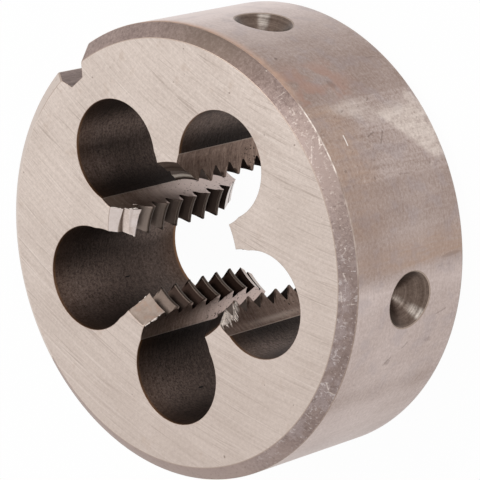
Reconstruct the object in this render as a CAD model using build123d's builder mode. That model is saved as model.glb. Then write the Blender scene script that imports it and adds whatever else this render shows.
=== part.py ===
from build123d import *
import math
import os

# A round threading die: one hardened steel button that cuts an outside thread.
# Sizes are in millimetres and angles in degrees. The die lies on its back face,
# its axis is Z, and the adjusting slot in its rim points along +Y.

# Blank, turned and then ground on both faces
die_diameter = 45.0
die_thickness = 18.0
rim_chamfer_width = 1.45
rim_chamfer_height = 1.2

# Thread, right hand: its crests stand on the bore, and the phase turns its start
thread_pitch = 2.0
thread_pitch_diameter = 14.7
thread_bore = 13.55
thread_root = 16.1
thread_half_angle = 30.0
thread_phase = 337.0

# Lead cones that start the thread: one at the front, and a slimmer one at the back
lead_mouth = 17.3
lead_depth = 2.45
back_lead_mouth = 16.85
back_lead_depth = 3.0

# Chip holes, and the ground hollows that cut the lands' rake faces
chip_hole_count = 5
chip_hole_diameter = 10.5
chip_hole_circle = 23.3
rake_diameter = 9.3
rake_circle = 19.9

# Adjusting slot in the rim, in line with one chip hole
slot_azimuth = 90.0
slot_floor_radius = 19.7
slot_floor_width = 1.86
slot_half_angle = 33.0

# Seats for the holder's cone-pointed screws, in pairs about the slot
seat_diameter = 6.0
seat_cone_angle = 90.0
adjusting_seat_offset = 49.2
fixing_seat_offset = 135.0

# How far the cutting tools reach past the steel, at the rim and inside the bore
rim_overrun = 1.0
bore_overrun = 0.15

die_radius = die_diameter / 2
bore_radius = thread_bore / 2
root_radius = thread_root / 2


def groove_half_width(radius):
    """Half the width of the thread's V groove at a distance from the axis."""
    below_pitch_line = thread_pitch_diameter / 2 - radius
    return thread_pitch / 4 + below_pitch_line * math.tan(math.radians(thread_half_angle))


# One stretch of the thread's V groove, long enough to cross one land
land_spacing = 360 / chip_hole_count
groove_span = land_spacing / 2
groove_rise = thread_pitch * groove_span / 360
groove_mouth_radius = bore_radius - bore_overrun

with BuildPart() as groove_stretch:
    with BuildLine() as groove_path:
        Helix(pitch=thread_pitch, height=groove_rise, radius=bore_radius)
    with BuildSketch(Plane.XZ):
        with BuildLine():
            Polyline(
                (groove_mouth_radius, -groove_half_width(groove_mouth_radius)),
                (root_radius, -groove_half_width(root_radius)),
                (root_radius, groove_half_width(root_radius)),
                (groove_mouth_radius, groove_half_width(groove_mouth_radius)),
                close=True,
            )
        make_face()
    sweep(path=groove_path.wires()[0], is_frenet=True)

with BuildPart() as die_body:
    # Turned section: bore, lead cones, faces, chamfers and rim in one outline
    with BuildSketch(Plane.XZ):
        with BuildLine():
            Polyline(
                (bore_radius, back_lead_depth),
                (back_lead_mouth / 2, 0),
                (die_radius - rim_chamfer_width, 0),
                (die_radius, rim_chamfer_height),
                (die_radius, die_thickness - rim_chamfer_height),
                (die_radius - rim_chamfer_width, die_thickness),
                (lead_mouth / 2, die_thickness),
                (bore_radius, die_thickness - lead_depth),
                close=True,
            )
        make_face()
    revolve(axis=Axis.Z)

    # Chip holes and rake hollows leave the lands standing between them
    with BuildSketch():
        with PolarLocations(chip_hole_circle / 2, chip_hole_count, start_angle=slot_azimuth):
            Circle(chip_hole_diameter / 2)
        with PolarLocations(rake_circle / 2, chip_hole_count, start_angle=slot_azimuth):
            Circle(rake_diameter / 2)
    extrude(amount=die_thickness, mode=Mode.SUBTRACT)

    # Adjusting slot: a flat floor with straight flaring sides, right across the rim
    slot_mouth_radius = die_radius + rim_overrun
    slot_rise = slot_mouth_radius - slot_floor_radius
    slot_mouth_width = slot_floor_width + 2 * slot_rise * math.tan(math.radians(slot_half_angle))
    with BuildSketch(Plane.XY.rotated((0, 0, slot_azimuth))):
        with BuildLine():
            Polyline(
                (slot_floor_radius, -slot_floor_width / 2),
                (slot_mouth_radius, -slot_mouth_width / 2),
                (slot_mouth_radius, slot_mouth_width / 2),
                (slot_floor_radius, slot_floor_width / 2),
                close=True,
            )
        make_face()
    extrude(amount=die_thickness, mode=Mode.SUBTRACT)

    # Conical seats, their axes square to the rim at mid thickness
    seat_slope = math.tan(math.radians(seat_cone_angle / 2))
    seat_depth = seat_diameter / 2 / seat_slope
    seat_tool_length = seat_depth + rim_overrun
    for offset_from_slot in (adjusting_seat_offset, fixing_seat_offset):
        for side in (-1, 1):
            azimuth = math.radians(slot_azimuth + side * offset_from_slot)
            outward = Vector(math.cos(azimuth), math.sin(azimuth), 0)
            seat_tip = outward * (die_radius - seat_depth) + Vector(0, 0, die_thickness / 2)
            with Locations(Plane(origin=seat_tip, x_dir=(0, 0, 1), z_dir=outward)):
                Cone(
                    bottom_radius=0,
                    top_radius=seat_tool_length * seat_slope,
                    height=seat_tool_length,
                    align=(Align.CENTER, Align.CENTER, Align.MIN),
                    mode=Mode.SUBTRACT,
                )

    # The groove crosses each land once per pitch, following one right-hand helix
    groove_places = []
    for land in range(chip_hole_count):
        azimuth = slot_azimuth + (land + 0.5) * land_spacing - groove_span / 2
        first_height = thread_pitch * ((azimuth - thread_phase) / 360 % 1 - 1)
        for turn in range(math.ceil(die_thickness / thread_pitch) + 2):
            height = first_height + turn * thread_pitch
            groove_places.append(Location((0, 0, height), (0, 0, azimuth)))
    with Locations(*groove_places):
        add(groove_stretch.part, mode=Mode.SUBTRACT)

die_body.part.label = "die_body"

os.makedirs("parts", exist_ok=True)
export_step(die_body.part, "parts/die_body.step")
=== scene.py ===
import functools
import math

import bmesh
import bpy
import numpy as np
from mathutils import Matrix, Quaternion, Vector
from mathutils.geometry import delaunay_2d_cdt


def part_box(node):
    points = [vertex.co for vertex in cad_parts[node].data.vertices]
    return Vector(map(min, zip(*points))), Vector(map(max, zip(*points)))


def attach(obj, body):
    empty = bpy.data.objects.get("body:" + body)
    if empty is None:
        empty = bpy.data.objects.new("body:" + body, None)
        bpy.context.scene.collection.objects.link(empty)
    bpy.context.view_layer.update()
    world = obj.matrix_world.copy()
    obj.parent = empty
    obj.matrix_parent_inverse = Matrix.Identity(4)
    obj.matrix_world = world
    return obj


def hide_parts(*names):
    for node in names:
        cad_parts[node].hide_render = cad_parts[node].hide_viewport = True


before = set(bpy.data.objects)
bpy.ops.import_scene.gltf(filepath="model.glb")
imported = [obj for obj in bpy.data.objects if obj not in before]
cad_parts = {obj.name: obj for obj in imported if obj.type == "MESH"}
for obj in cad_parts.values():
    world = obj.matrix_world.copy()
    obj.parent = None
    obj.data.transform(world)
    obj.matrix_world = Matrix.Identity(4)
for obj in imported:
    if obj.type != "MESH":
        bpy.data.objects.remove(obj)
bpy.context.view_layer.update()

# A round threading die, lying on its back face: one hardened steel button with a
# slotted rim, five chip holes and five toothed lands. Sizes are in millimetres.
MM = 0.001
box_low, box_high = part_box("die_body")
thickness = (box_high.z - box_low.z) / MM
rim_radius = min(box_high.x, -box_low.x, -box_low.y) / MM
chamfer_width = 1.45
chamfer_height = 1.2
face_radius = rim_radius - chamfer_width

# Thread, right hand: groove heights follow the azimuth from the phase
pitch = 2.0
pitch_radius = 7.35
bore_radius = 6.775
root_radius = 8.05
flank_angle = math.radians(30)
flank_slope = math.tan(flank_angle)
thread_phase = 337.0

# Lead cones: one at the front, and a slimmer one at the back
lead_mouth = 8.65
lead_depth = 2.45
lead_slope = (lead_mouth - bore_radius) / lead_depth
back_lead_mouth = 8.425
back_lead_depth = 3.0
back_lead_slope = (back_lead_mouth - bore_radius) / back_lead_depth

# Chip holes, and the rake hollows ground beside them
hole_count = 5
hole_spacing = 360 / hole_count
hole_radius = 5.25
hole_circle = 11.65
rake_radius = 4.65
rake_circle = 9.95

# Adjusting slot across the rim
slot_azimuth = 90.0
slot_floor = 19.7
slot_half_floor = 0.93
slot_slope = math.tan(math.radians(33))
slot_flank_stretch = math.hypot(1, slot_slope)

# Cone seats for the holder's screws, their axes at mid thickness
seat_radius = 3.0
seat_azimuths = (40.8, 139.2, 225.0, 315.0)
seat_height = thickness / 2

# Sides of a land, seen from the axis
right, left = -1, 1

# Azimuths of the lands that differ from the rest, named for their places in the photograph
upper_land = slot_azimuth + hole_spacing / 2
lower_land = upper_land + hole_spacing
worn_land = lower_land + hole_spacing
far_land = slot_azimuth - hole_spacing / 2

# Broken edges: sizes of the tiny rounds that catch the light
face_edge = 0.045
rim_edge = 0.08
crest_round = 0.12
slot_corner = 0.16
seat_edge = 0.07

# How finely the outside is divided: degrees for each column, closer beside the slot, and rows
# of the rim's wall, with squares round the seats that reach this far from the seats' axes
column_step = 0.5
slot_clear = 9.0
slot_side_columns = 6
seat_square = 3.93
seat_rows = 16
rim_rows_beside = 3
seat_ring_layers = 5
seat_ring_crowding = 0.8
seat_cone_layers = 12

# How finely the inside is divided: columns round each chip hole, flank and land, and how many
# rounds a column's azimuths and radii take to settle on each other
arc_columns = 36
flank_columns = 6
land_columns = 10
settling_rounds = 6

# The mesh is welded at this distance, and shades as smooth up to this bend
weld_distance = 0.002
crease_angle = math.radians(13)

# A cell whose corners are this near a lead cone belongs to the lead
lead_tolerance = 0.01

# Zones of the die's skin, in the order of its material slots
ZONES = (
    "ground_face",
    "chamfer",
    "rim",
    "hole_wall",
    "rake",
    "thread",
    "crest",
    "lead",
    "seat",
    "slot",
    "edge",
    "tooth_edge",
    "seat_lip",
    "rim_line",
    "burr",
)
# Zones that shade smoothly into their neighbours
ROUNDED = ("edge", "tooth_edge", "seat_lip", "rim_line", "burr")


class Skin:
    """Collects patches of quads and triangles, each in a zone, into one mesh."""

    def __init__(self):
        self.points = []
        self.faces = []
        self.zones = []
        self.count = 0

    def add_points(self, points):
        start = self.count
        self.points.append(np.asarray(points, float).reshape(-1, 3))
        self.count += len(self.points[-1])
        return start

    def add_face(self, corners, zone):
        self.faces.append(corners)
        self.zones.append(ZONES.index(zone))

    def patch(self, points, zone_at, closed=True, skip=None):
        """Adds a grid of points, rows by columns. zone_at names the zone of each cell."""
        points = np.asarray(points, float)
        rows, columns = points.shape[:2]
        start = self.add_points(points)
        for row in range(rows - 1):
            for column in range(columns if closed else columns - 1):
                if skip and skip(row, column):
                    continue
                here = start + row * columns
                above = here + columns
                beside = (column + 1) % columns
                corners = (here + column, here + beside, above + beside, above + column)
                self.add_face(corners, zone_at(row, column))

    def fan(self, ring, tip, zone):
        start = self.add_points(ring)
        top = self.add_points([tip])
        for k in range(len(ring)):
            self.add_face((start + k, start + (k + 1) % len(ring), top), zone)

    def make(self, name):
        mesh = bpy.data.meshes.new(name)
        points = np.concatenate(self.points) * MM
        mesh.from_pydata(points.tolist(), [], self.faces)
        mesh.polygons.foreach_set("material_index", self.zones)
        work = bmesh.new()
        work.from_mesh(mesh)
        bmesh.ops.remove_doubles(work, verts=work.verts, dist=weld_distance * MM)
        bmesh.ops.dissolve_degenerate(work, edges=work.edges, dist=weld_distance * MM)
        bmesh.ops.recalc_face_normals(work, faces=work.faces)
        rounded = {ZONES.index(zone) for zone in ROUNDED}
        for face in work.faces:
            face.smooth = True
        for edge in work.edges:
            if len(edge.link_faces) == 2:
                soft = any(face.material_index in rounded for face in edge.link_faces)
                edge.smooth = soft or edge.calc_face_angle() < crease_angle
        work.to_mesh(mesh)
        work.free()
        piece = bpy.data.objects.new(name, mesh)
        bpy.context.scene.collection.objects.link(piece)
        return piece


def turn(azimuth, radius, height):
    """Points at azimuths in degrees, distances from the axis, and heights."""
    angle, radius, height = np.broadcast_arrays(np.radians(azimuth), radius, height)
    return np.stack([radius * np.cos(angle), radius * np.sin(angle), height], -1)


def rounded_corner(start, corner, end):
    """The three points of a small round at a corner."""
    start, corner, end = (np.asarray(point, float) for point in (start, corner, end))
    return [start, (start + 2 * corner + end) / 4, end]


def outside_section():
    """Radii and heights of the small rounds at the chamfer's inner and outer corner, going down."""
    slant = np.array([chamfer_width, -chamfer_height]) / math.hypot(chamfer_width, chamfer_height)
    face_corner = np.array([face_radius, thickness])
    rim_corner = np.array([rim_radius, thickness - chamfer_height])
    upper = rounded_corner(face_corner - (face_edge, 0), face_corner, face_corner + slant * face_edge)
    lower = rounded_corner(rim_corner - slant * rim_edge, rim_corner, rim_corner - (0, rim_edge))
    return upper, lower


def section_rows():
    """Rows of the outside, going up, as radius, height and how far the slot's walls are cut back
    to break their edges, and the zones between the rows."""
    upper, lower = outside_section()
    top = [*upper, *lower]
    offsets = [face_edge, face_edge / 4, 0, 0, 0, 0]
    wall_top = top[-1][1]
    wall_bottom = thickness - wall_top
    low, high = seat_height - seat_square, seat_height + seat_square
    heights = np.concatenate(
        [
            np.linspace(wall_bottom, low, rim_rows_beside + 1)[:-1],
            np.linspace(low, high, seat_rows + 1),
            np.linspace(high, wall_top, rim_rows_beside + 1)[1:],
        ]
    )
    rows = [(radius, thickness - height, offset) for (radius, height), offset in zip(top, offsets)]
    rows += [(rim_radius, height, 0.0) for height in heights[1:-1]]
    rows += [(radius, height, offset) for (radius, height), offset in zip(top[::-1], offsets[::-1])]
    zones = ["edge", "edge", "chamfer", "rim_line", "rim_line"]
    zones += ["rim"] * (len(heights) - 1)
    zones += ["rim_line", "rim_line", "chamfer", "edge", "edge"]
    return rows, zones


def slot_outline(radius, offset):
    """The slot's floor, half its width there, and where its flank meets a circle."""
    floor = slot_floor - offset
    half_floor = slot_half_floor + offset * (slot_flank_stretch - slot_slope)
    # The flank is x = base + slope * y, and its corner is where it meets the circle
    base = half_floor - slot_slope * floor
    root = math.sqrt((1 + slot_slope**2) * radius**2 - base**2)
    corner_y = (root - slot_slope * base) / (1 + slot_slope**2)
    corner = np.array([base + slot_slope * corner_y, corner_y])
    return floor, half_floor, corner


def outer_row(radius, height, offset):
    """One closed row of the outside, counterclockwise from the slot's left corner."""
    floor, half_floor, corner = slot_outline(radius, offset)
    reach = math.degrees(math.atan2(corner[0], corner[1]) + slot_corner / radius)
    inward = np.array([-slot_slope, -1.0]) / slot_flank_stretch
    on_flank = corner + inward * slot_corner
    near_slot = np.linspace(reach, slot_clear, slot_side_columns + 1)[:-1]
    plain = np.arange(slot_clear, 360 - slot_clear + column_step / 2, column_step)
    azimuths = slot_azimuth + np.concatenate([near_slot, plain, 360 - near_slot[::-1]])
    circle = turn(azimuths, radius, height)
    arc_end = circle[-1][:2]
    right_half = [
        rounded_corner(arc_end, corner, on_flank)[1],
        on_flank,
        (on_flank + (half_floor, floor)) / 2,
        np.array([half_floor, floor]),
    ]
    left_half = [point * (-1, 1) for point in right_half[::-1]]
    notch = [*right_half, np.array([0.0, floor]), *left_half]
    notch = np.array([(x, y, height) for x, y in notch])
    return np.concatenate([circle, notch]), len(circle)


def add_outside(skin):
    """The rim, the chamfers and the slot, with the cone seats let into the rim."""
    rows, zones = section_rows()
    grid = []
    for radius, height, offset in rows:
        points, circle_count = outer_row(radius, height, offset)
        grid.append(points)
    grid = np.array(grid)
    middle = grid[len(grid) // 2]
    azimuths = np.degrees(np.arctan2(middle[:circle_count, 1], middle[:circle_count, 0]))
    heights = np.array([row[1] for row in rows])
    half_columns = round(math.degrees(seat_square / rim_radius) / column_step)
    squares = []
    for azimuth in seat_azimuths:
        turn_from = (azimuths - azimuth + 180) % 360 - 180
        centre = int(np.argmin(abs(turn_from)))
        squares.append((centre - half_columns, centre + half_columns))
    first_row = int(np.argmin(abs(heights - (seat_height - seat_square))))
    last_row = first_row + seat_rows

    def in_seat(row, column):
        inside_height = first_row <= row < last_row
        return inside_height and any(low <= column < high for low, high in squares)

    def zone_at(row, column):
        if column >= circle_count - 1 and zones[row] != "edge":
            corner_cells = (circle_count - 1, circle_count, grid.shape[1] - 2, grid.shape[1] - 1)
            return "edge" if column in corner_cells else "slot"
        return zones[row]

    skin.patch(grid, zone_at, skip=in_seat)
    for azimuth, (low, high) in zip(seat_azimuths, squares):
        block = grid[first_row : last_row + 1, low : high + 1]
        border = np.concatenate([block[0, :-1], block[:-1, -1], block[-1, :0:-1], block[:0:-1, 0]])
        add_seat(skin, azimuth, border)
    return grid[0], grid[-1]


def add_seat(skin, azimuth, border):
    """One cone seat and the piece of rim between it and its square border."""
    angle = math.radians(azimuth)
    outward = np.array([math.cos(angle), math.sin(angle), 0.0])
    along = np.array([-math.sin(angle), math.cos(angle), 0.0])
    tip = outward * (rim_radius - seat_radius) + (0, 0, seat_height)
    unrolled = np.degrees(np.arctan2(border[:, 1], border[:, 0])) - azimuth
    unrolled = np.radians((unrolled + 180) % 360 - 180) * rim_radius
    rise = border[:, 2] - seat_height
    bearing = np.arctan2(rise, unrolled)
    # A cone with a square corner at its tip meets the rim's wall at this distance from its axis
    across = np.cos(bearing) ** 2
    depth = rim_radius - seat_radius
    rim_distance = (np.sqrt(depth**2 + (1 + across) * (rim_radius**2 - depth**2)) - depth) / (1 + across)

    def on_wall(distance):
        sideways = distance * np.cos(bearing)
        radial = np.sqrt(rim_radius**2 - sideways**2)
        return radial[:, None] * outward + sideways[:, None] * along + height_of(distance)

    def height_of(distance):
        up = seat_height + distance * np.sin(bearing)
        return up[:, None] * np.array([0, 0, 1.0])

    def on_cone(distance):
        sideways = distance * np.cos(bearing)
        radial = depth + distance
        return radial[:, None] * outward + sideways[:, None] * along + height_of(distance)

    border_distance = np.hypot(rim_radius * np.sin(unrolled / rim_radius), rise)
    wall_start = rim_distance + seat_edge
    rings = [border]
    for layer in range(1, seat_ring_layers):
        share = (layer / seat_ring_layers) ** seat_ring_crowding
        rings.append(on_wall(border_distance + (wall_start - border_distance) * share))
    outer_round = on_wall(wall_start)
    inner_round = on_cone(rim_distance - seat_edge)
    corner = on_wall(rim_distance)
    rings += [outer_round, (outer_round + 2 * corner + inner_round) / 4, inner_round]
    last_wall = seat_ring_layers - 1
    for layer in range(1, seat_cone_layers):
        share = 1 - layer / seat_cone_layers
        rings.append(on_cone((rim_distance - seat_edge) * share))

    def zone_at(row, column):
        if row <= last_wall:
            return "rim"
        return "seat_lip" if row <= last_wall + 2 else "seat"

    skin.patch(np.array(rings), zone_at)
    skin.fan(rings[-1], tip, "seat")


# Where a chip hole's circle and its rake hollow's circle cross, along and across their line
circle_gap = hole_circle**2 - rake_circle**2 - hole_radius**2 + rake_radius**2
cusp_along = circle_gap / (2 * (hole_circle - rake_circle))
cusp_across = math.sqrt(hole_radius**2 - (cusp_along - hole_circle) ** 2)
cusp_radius = math.hypot(cusp_along, cusp_across)
cusp_bearing = math.degrees(math.atan2(cusp_across, cusp_along - hole_circle))


def rake_azimuth(radius):
    """Degrees from a chip hole's centre line to its rake hollow's wall."""
    along = (radius**2 + rake_circle**2 - rake_radius**2) / (2 * rake_circle)
    return np.degrees(np.arccos(along / radius))


def groove_half_width(radius):
    """Half the width of the thread's V groove at a distance from the axis."""
    return pitch / 4 + (pitch_radius - radius) * flank_slope


def lead_radius(height, shape):
    """The lead cones' distance from the axis at a height, for the shape of one place on a land."""
    mouth, slope, back_mouth, _ = shape
    front = mouth - (thickness - height) * slope
    back = back_mouth - height * back_lead_slope
    return np.maximum(front, back)


def lead_shape(middle, side):
    """The leads at a side of a land, -1 at its right, 1 at its left: mouth and slope of the
    front cone, mouth of the back one, and how much the first groove is filled at its root."""
    plain = (lead_mouth, lead_slope, back_lead_mouth, 0.0)
    at_right = np.array(leads_at_right.get(middle % 360, plain))
    at_left = np.array(leads_at_left.get(middle % 360, plain))
    return at_right + (at_left - at_right) * (side + 1) / 2


# The leads are ground by hand, so some lands differ at their right and their left side
leads_at_right = {
    far_land: (lead_mouth + 0.6, lead_slope, back_lead_mouth, 0.0),
    upper_land: (lead_mouth + 0.14, lead_slope - 0.01, back_lead_mouth - 0.05, 0.0),
    lower_land: (lead_mouth + 0.1, lead_slope, back_lead_mouth - 0.1, 0.0),
}
leads_at_left = {
    far_land: (lead_mouth + 0.35, lead_slope, back_lead_mouth, 0.0),
    upper_land: (lead_mouth - 0.2, lead_slope - 0.01, back_lead_mouth + 0.05, 0.26),
    lower_land: (lead_mouth - 0.03, lead_slope - 0.07, back_lead_mouth + 0.16, 0.0),
}


def thread_corners():
    """Corners of the thread's profile, going up: heights from the phase, radii, zones above."""
    root = groove_half_width(root_radius)
    crest = pitch / 2 - groove_half_width(bore_radius)
    flank_foot = bore_radius + crest_round * math.cos(flank_angle)
    lean = crest_round * math.sin(flank_angle)
    zones = ["thread", "thread", "tooth_edge", "tooth_edge", "crest", "tooth_edge", "tooth_edge", "thread"]
    corners = [(-2 * pitch, bore_radius, "crest")]

    def crest_corner(height, way):
        """The round from a flank onto its crest, whose middle lies up or down as way is 1 or -1."""
        foot = (height - way * lean, flank_foot)
        return rounded_corner(foot, (height, bore_radius), (height + way * crest_round, bore_radius))

    for groove in range(groove_count):
        base = groove * pitch
        places = [(base - root, root_radius), (base + root, root_radius)]
        places += crest_corner(base + pitch / 2 - crest, 1)
        places += crest_corner(base + pitch / 2 + crest, -1)[::-1]
        corners += [(*place, zone) for place, zone in zip(places, zones)]
    corners.append(((groove_count + 1) * pitch, bore_radius, "crest"))
    return corners


# The grooves reach past both faces. Each root's corners are marked -1 below and 1 above
groove_count = math.ceil(thickness / pitch) + 2
corner_list = thread_corners()
corner_heights = np.array([corner[0] for corner in corner_list])
corner_radii = np.array([corner[1] for corner in corner_list])
root_sides = np.zeros(len(corner_list))
root_sides[corner_radii == root_radius] = np.tile([-1.0, 1.0], groove_count)
first_groove_bottom = thickness - pitch

# A land has a row at each corner and one between
row_count = 2 * len(corner_list) - 1
rows_below = np.arange(row_count) // 2
rows_above = (np.arange(row_count) + 1) // 2


def profile(corners, rise, fill):
    """Heights and radii of corners of the thread, with the first groove filled at its root."""
    height = corner_heights[corners] + rise
    fill = fill * abs(root_sides[corners]) * (height > first_groove_bottom)
    return height + root_sides[corners] * fill * flank_slope, corner_radii[corners] - fill


def land_rows(azimuth, shape):
    """Heights and radii of every row of a land at its azimuths: corners, with one row between."""
    rise = pitch * (azimuth - thread_phase) / 360
    fill = shape[3]
    low, low_radius = profile(rows_below, rise, fill)
    high, high_radius = profile(rows_above, rise, fill)
    low_gap = low_radius - lead_radius(low, shape)
    high_gap = high_radius - lead_radius(high, shape)
    crossing = low_gap * high_gap < 0
    share = np.where(crossing, low_gap / np.where(crossing, low_gap - high_gap, 1), 0.5)
    height = np.clip(low + (high - low) * share, face_edge, thickness - face_edge)
    radius = low_radius + (high_radius - low_radius) * share
    return height, np.maximum(radius, lead_radius(height, shape))


def land_column(middle, side):
    """One column of a land: azimuths, radii and heights, side from right to left as -1 to 1."""
    radius = np.full(row_count, bore_radius)
    shape = lead_shape(middle, side)
    for _ in range(settling_rounds):
        azimuth = middle + side * (hole_spacing / 2 - rake_azimuth(radius))
        height, radius = land_rows(azimuth, shape)
    return azimuth, radius, height


axis = np.zeros(2)


def way_out(azimuth):
    """The direction away from the axis at an azimuth."""
    return np.array([math.cos(math.radians(azimuth)), math.sin(math.radians(azimuth))])


class InsideWall:
    """Columns of the inside's wall, each with its kind and its direction into the steel."""

    def __init__(self):
        self.columns = []
        self.kinds = []
        self.outwards = []
        self.shapes = {}

    def add(self, points, kind, *centres):
        """Adds a column of the wall round one centre, or of the corner of two such walls. Its
        direction moves a corner clear of both walls by one unit."""
        ways = [points[-1][:2] - centre for centre in centres]
        first, last = ways[0] / np.linalg.norm(ways[0]), ways[-1] / np.linalg.norm(ways[-1])
        self.columns.append(points)
        self.kinds.append(kind)
        self.outwards.append((first + last) / (1 + first @ last))


def flank_column(middle, side, share, edge_radius, height):
    """A column of a land's flank, a share of the way from its cusp to its cutting edge."""
    radius = cusp_radius + (edge_radius - cusp_radius) * share
    return turn(middle + side * (hole_spacing / 2 - rake_azimuth(radius)), radius, height)


def add_land(wall, middle):
    """A land's right flank, threaded face and left flank. Gives the heights of its last column."""
    right_way = way_out(middle + right * hole_spacing / 2)
    left_way = way_out(middle + left * hole_spacing / 2)
    right_rake, left_rake = right_way * rake_circle, left_way * rake_circle
    _, edge_radius, height = land_column(middle, right)
    for step in range(flank_columns):
        points = flank_column(middle, right, step / flank_columns, edge_radius, height)
        cusp = [right_way * hole_circle] if step == 0 else []
        wall.add(points, "rake", right_rake, *cusp)
    for step in range(land_columns + 1):
        side = 2 * step / land_columns - 1
        wall.shapes[len(wall.columns)] = lead_shape(middle, side)
        azimuth, edge_radius, height = land_column(middle, side)
        cutting_edge = {0: [right_rake], land_columns: [left_rake]}.get(step, [])
        kind = "rake" if step == land_columns else "land"
        wall.add(turn(azimuth, edge_radius, height), kind, axis, *cutting_edge)
    for step in range(flank_columns - 1, 0, -1):
        points = flank_column(middle, left, step / flank_columns, edge_radius, height)
        wall.add(points, "rake", left_rake)
    points = flank_column(middle, left, 0, edge_radius, height)
    wall.add(points, "hole_wall", left_rake, left_way * hole_circle)
    return height


def add_hole(wall, azimuth, height, next_height):
    """A chip hole's wall, its rows easing from the heights of one land to those of the next."""
    centre = way_out(azimuth) * hole_circle
    for step in range(1, arc_columns):
        share = step / arc_columns
        spot = centre + way_out(azimuth + (2 * share - 1) * cusp_bearing) * hole_radius
        row_height = height + (next_height - height) * share
        wall.add(np.column_stack([np.full((row_count, 2), spot), row_height]), "hole_wall", centre)


def add_inside(skin):
    """Lands, rake hollows and chip holes as one wall, row by row round the axis."""
    wall = InsideWall()
    middles = [slot_azimuth + (land + 0.5) * hole_spacing for land in range(hole_count)]
    for middle, next_middle in zip(middles, middles[1:] + middles[:1]):
        height = add_land(wall, middle)
        add_hole(wall, middle + hole_spacing / 2, height, land_column(next_middle, right)[2])
    rows = np.array(wall.columns).transpose(1, 0, 2)
    outwards = np.array(wall.outwards)

    def edge_rows(row, face_height):
        """The two rows of the broken edge between the wall and a face."""
        result = []
        for inset, rise in ((1 / 4, 3 / 4), (1, 1)):
            points = row.copy()
            points[:, :2] += outwards * face_edge * inset
            points[:, 2] = row[:, 2] + (face_height - row[:, 2]) * rise
            result.append(points)
        return result

    bottom = edge_rows(rows[0], 0.0)[::-1]
    grid = np.array([*bottom, *rows, *edge_rows(rows[-1], thickness)])

    def zone_at(row, column):
        wall_row = row - len(bottom)
        if not 0 <= wall_row < row_count - 1:
            return "edge"
        kind = wall.kinds[column]
        if kind != "land":
            return kind
        cell = grid[row : row + 2, column : column + 2]
        distance = np.hypot(cell[..., 0], cell[..., 1])
        here = wall.shapes[column]
        both = np.column_stack([here, wall.shapes.get(column + 1, here)])
        if np.all(abs(distance - lead_radius(cell[..., 2], both)) < lead_tolerance):
            return "lead"
        return corner_list[rows_below[wall_row]][2]

    skin.patch(grid, zone_at)
    return grid[0], grid[-1]


# Torn steel: the length of its steps, and as shares of its size, how thin it gets between its
# ends and at them, and how far it stands on the flank
torn_step = 0.07
torn_thinnest = 0.35
torn_tip = 0.25
torn_stand = 0.4

# The worn land's torn corner: its slivers start at these heights and stay inside this radius
corner_top = 17.6
corner_bottom = 14.5
corner_reach = 9.2
corner_slivers = 44

# Each of these slivers: its start's distance from the cutting edge, its length and its size, as
# the least and what chance adds, and its slope, with the share of them that fall
sliver_offset, sliver_scatter = 0.05, 0.4
sliver_length, sliver_stretch = 0.20, 0.55
sliver_size, sliver_swelling = 0.03, 0.06
sliver_slope, falling_share = 0.5, 0.75

ragged = np.random.default_rng(16)


def add_torn_thread(skin, land, side, radius, height, size, stand=0.0):
    """A ragged thread of torn steel that follows a line on a land's flank."""
    azimuth = land + side * (hole_spacing / 2 - rake_azimuth(radius))
    spine = turn(azimuth, radius, height)
    inward = -turn(azimuth, 1.0, 0.0)
    sideways = turn(azimuth + 90 * side, 1.0, 0.0)
    thick = size * (torn_thinnest + (1 - torn_thinnest) * ragged.random(len(height)))
    thick[[0, -1]] = size * torn_tip
    spine = spine + sideways * (stand + thick[:, None] * torn_stand)
    along = spine[-1] - spine[0]
    runs_down = abs(along[2]) > np.hypot(along[0], along[1])
    first = inward if runs_down else np.array([0.0, 0.0, 1.0])
    ring = [first, sideways, -first, -sideways]
    grid = np.stack([spine + way * thick[:, None] for way in ring], 1)
    skin.patch(grid, lambda row, column: "burr")
    skin.fan(grid[0], spine[0], "burr")
    skin.fan(grid[-1], spine[-1], "burr")


def cutting_edge_radius(land, side, height):
    _, edge_radius, edge_height = land_column(land, side)
    return np.interp(height, edge_height, edge_radius)


def add_burr(skin, land, side, top, bottom, size, stand=0.0):
    """A burr down a land's cutting edge. stand is how far it stands off the flank."""
    height = np.arange(top, bottom, -torn_step)
    radius = cutting_edge_radius(land, side, height)
    add_torn_thread(skin, land, side, radius, height, size, stand)


def add_sliver(skin, land, side, start, end, size):
    """A sliver lying on a land's flank, between two places given by radius and height."""
    steps = max(3, round(math.hypot(end[0] - start[0], end[1] - start[1]) / torn_step))
    radius = np.linspace(start[0], end[0], steps)
    height = np.linspace(start[1], end[1], steps)
    add_torn_thread(skin, land, side, radius, height, size)


def add_torn_corner(skin, land, side):
    """Slivers where the land's first teeth were knocked."""
    heights = np.linspace(corner_top, corner_bottom, corner_slivers)
    for height, edge in zip(heights, cutting_edge_radius(land, side, heights)):
        start = edge + sliver_offset + sliver_scatter * ragged.random()
        length = sliver_length + sliver_stretch * ragged.random() ** 2
        rise = sliver_slope * length * (ragged.random() - falling_share)
        end = (min(start + length, corner_reach), height + rise)
        size = sliver_size + sliver_swelling * ragged.random() ** 2
        add_sliver(skin, land, side, (start, height), end, size)


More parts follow.
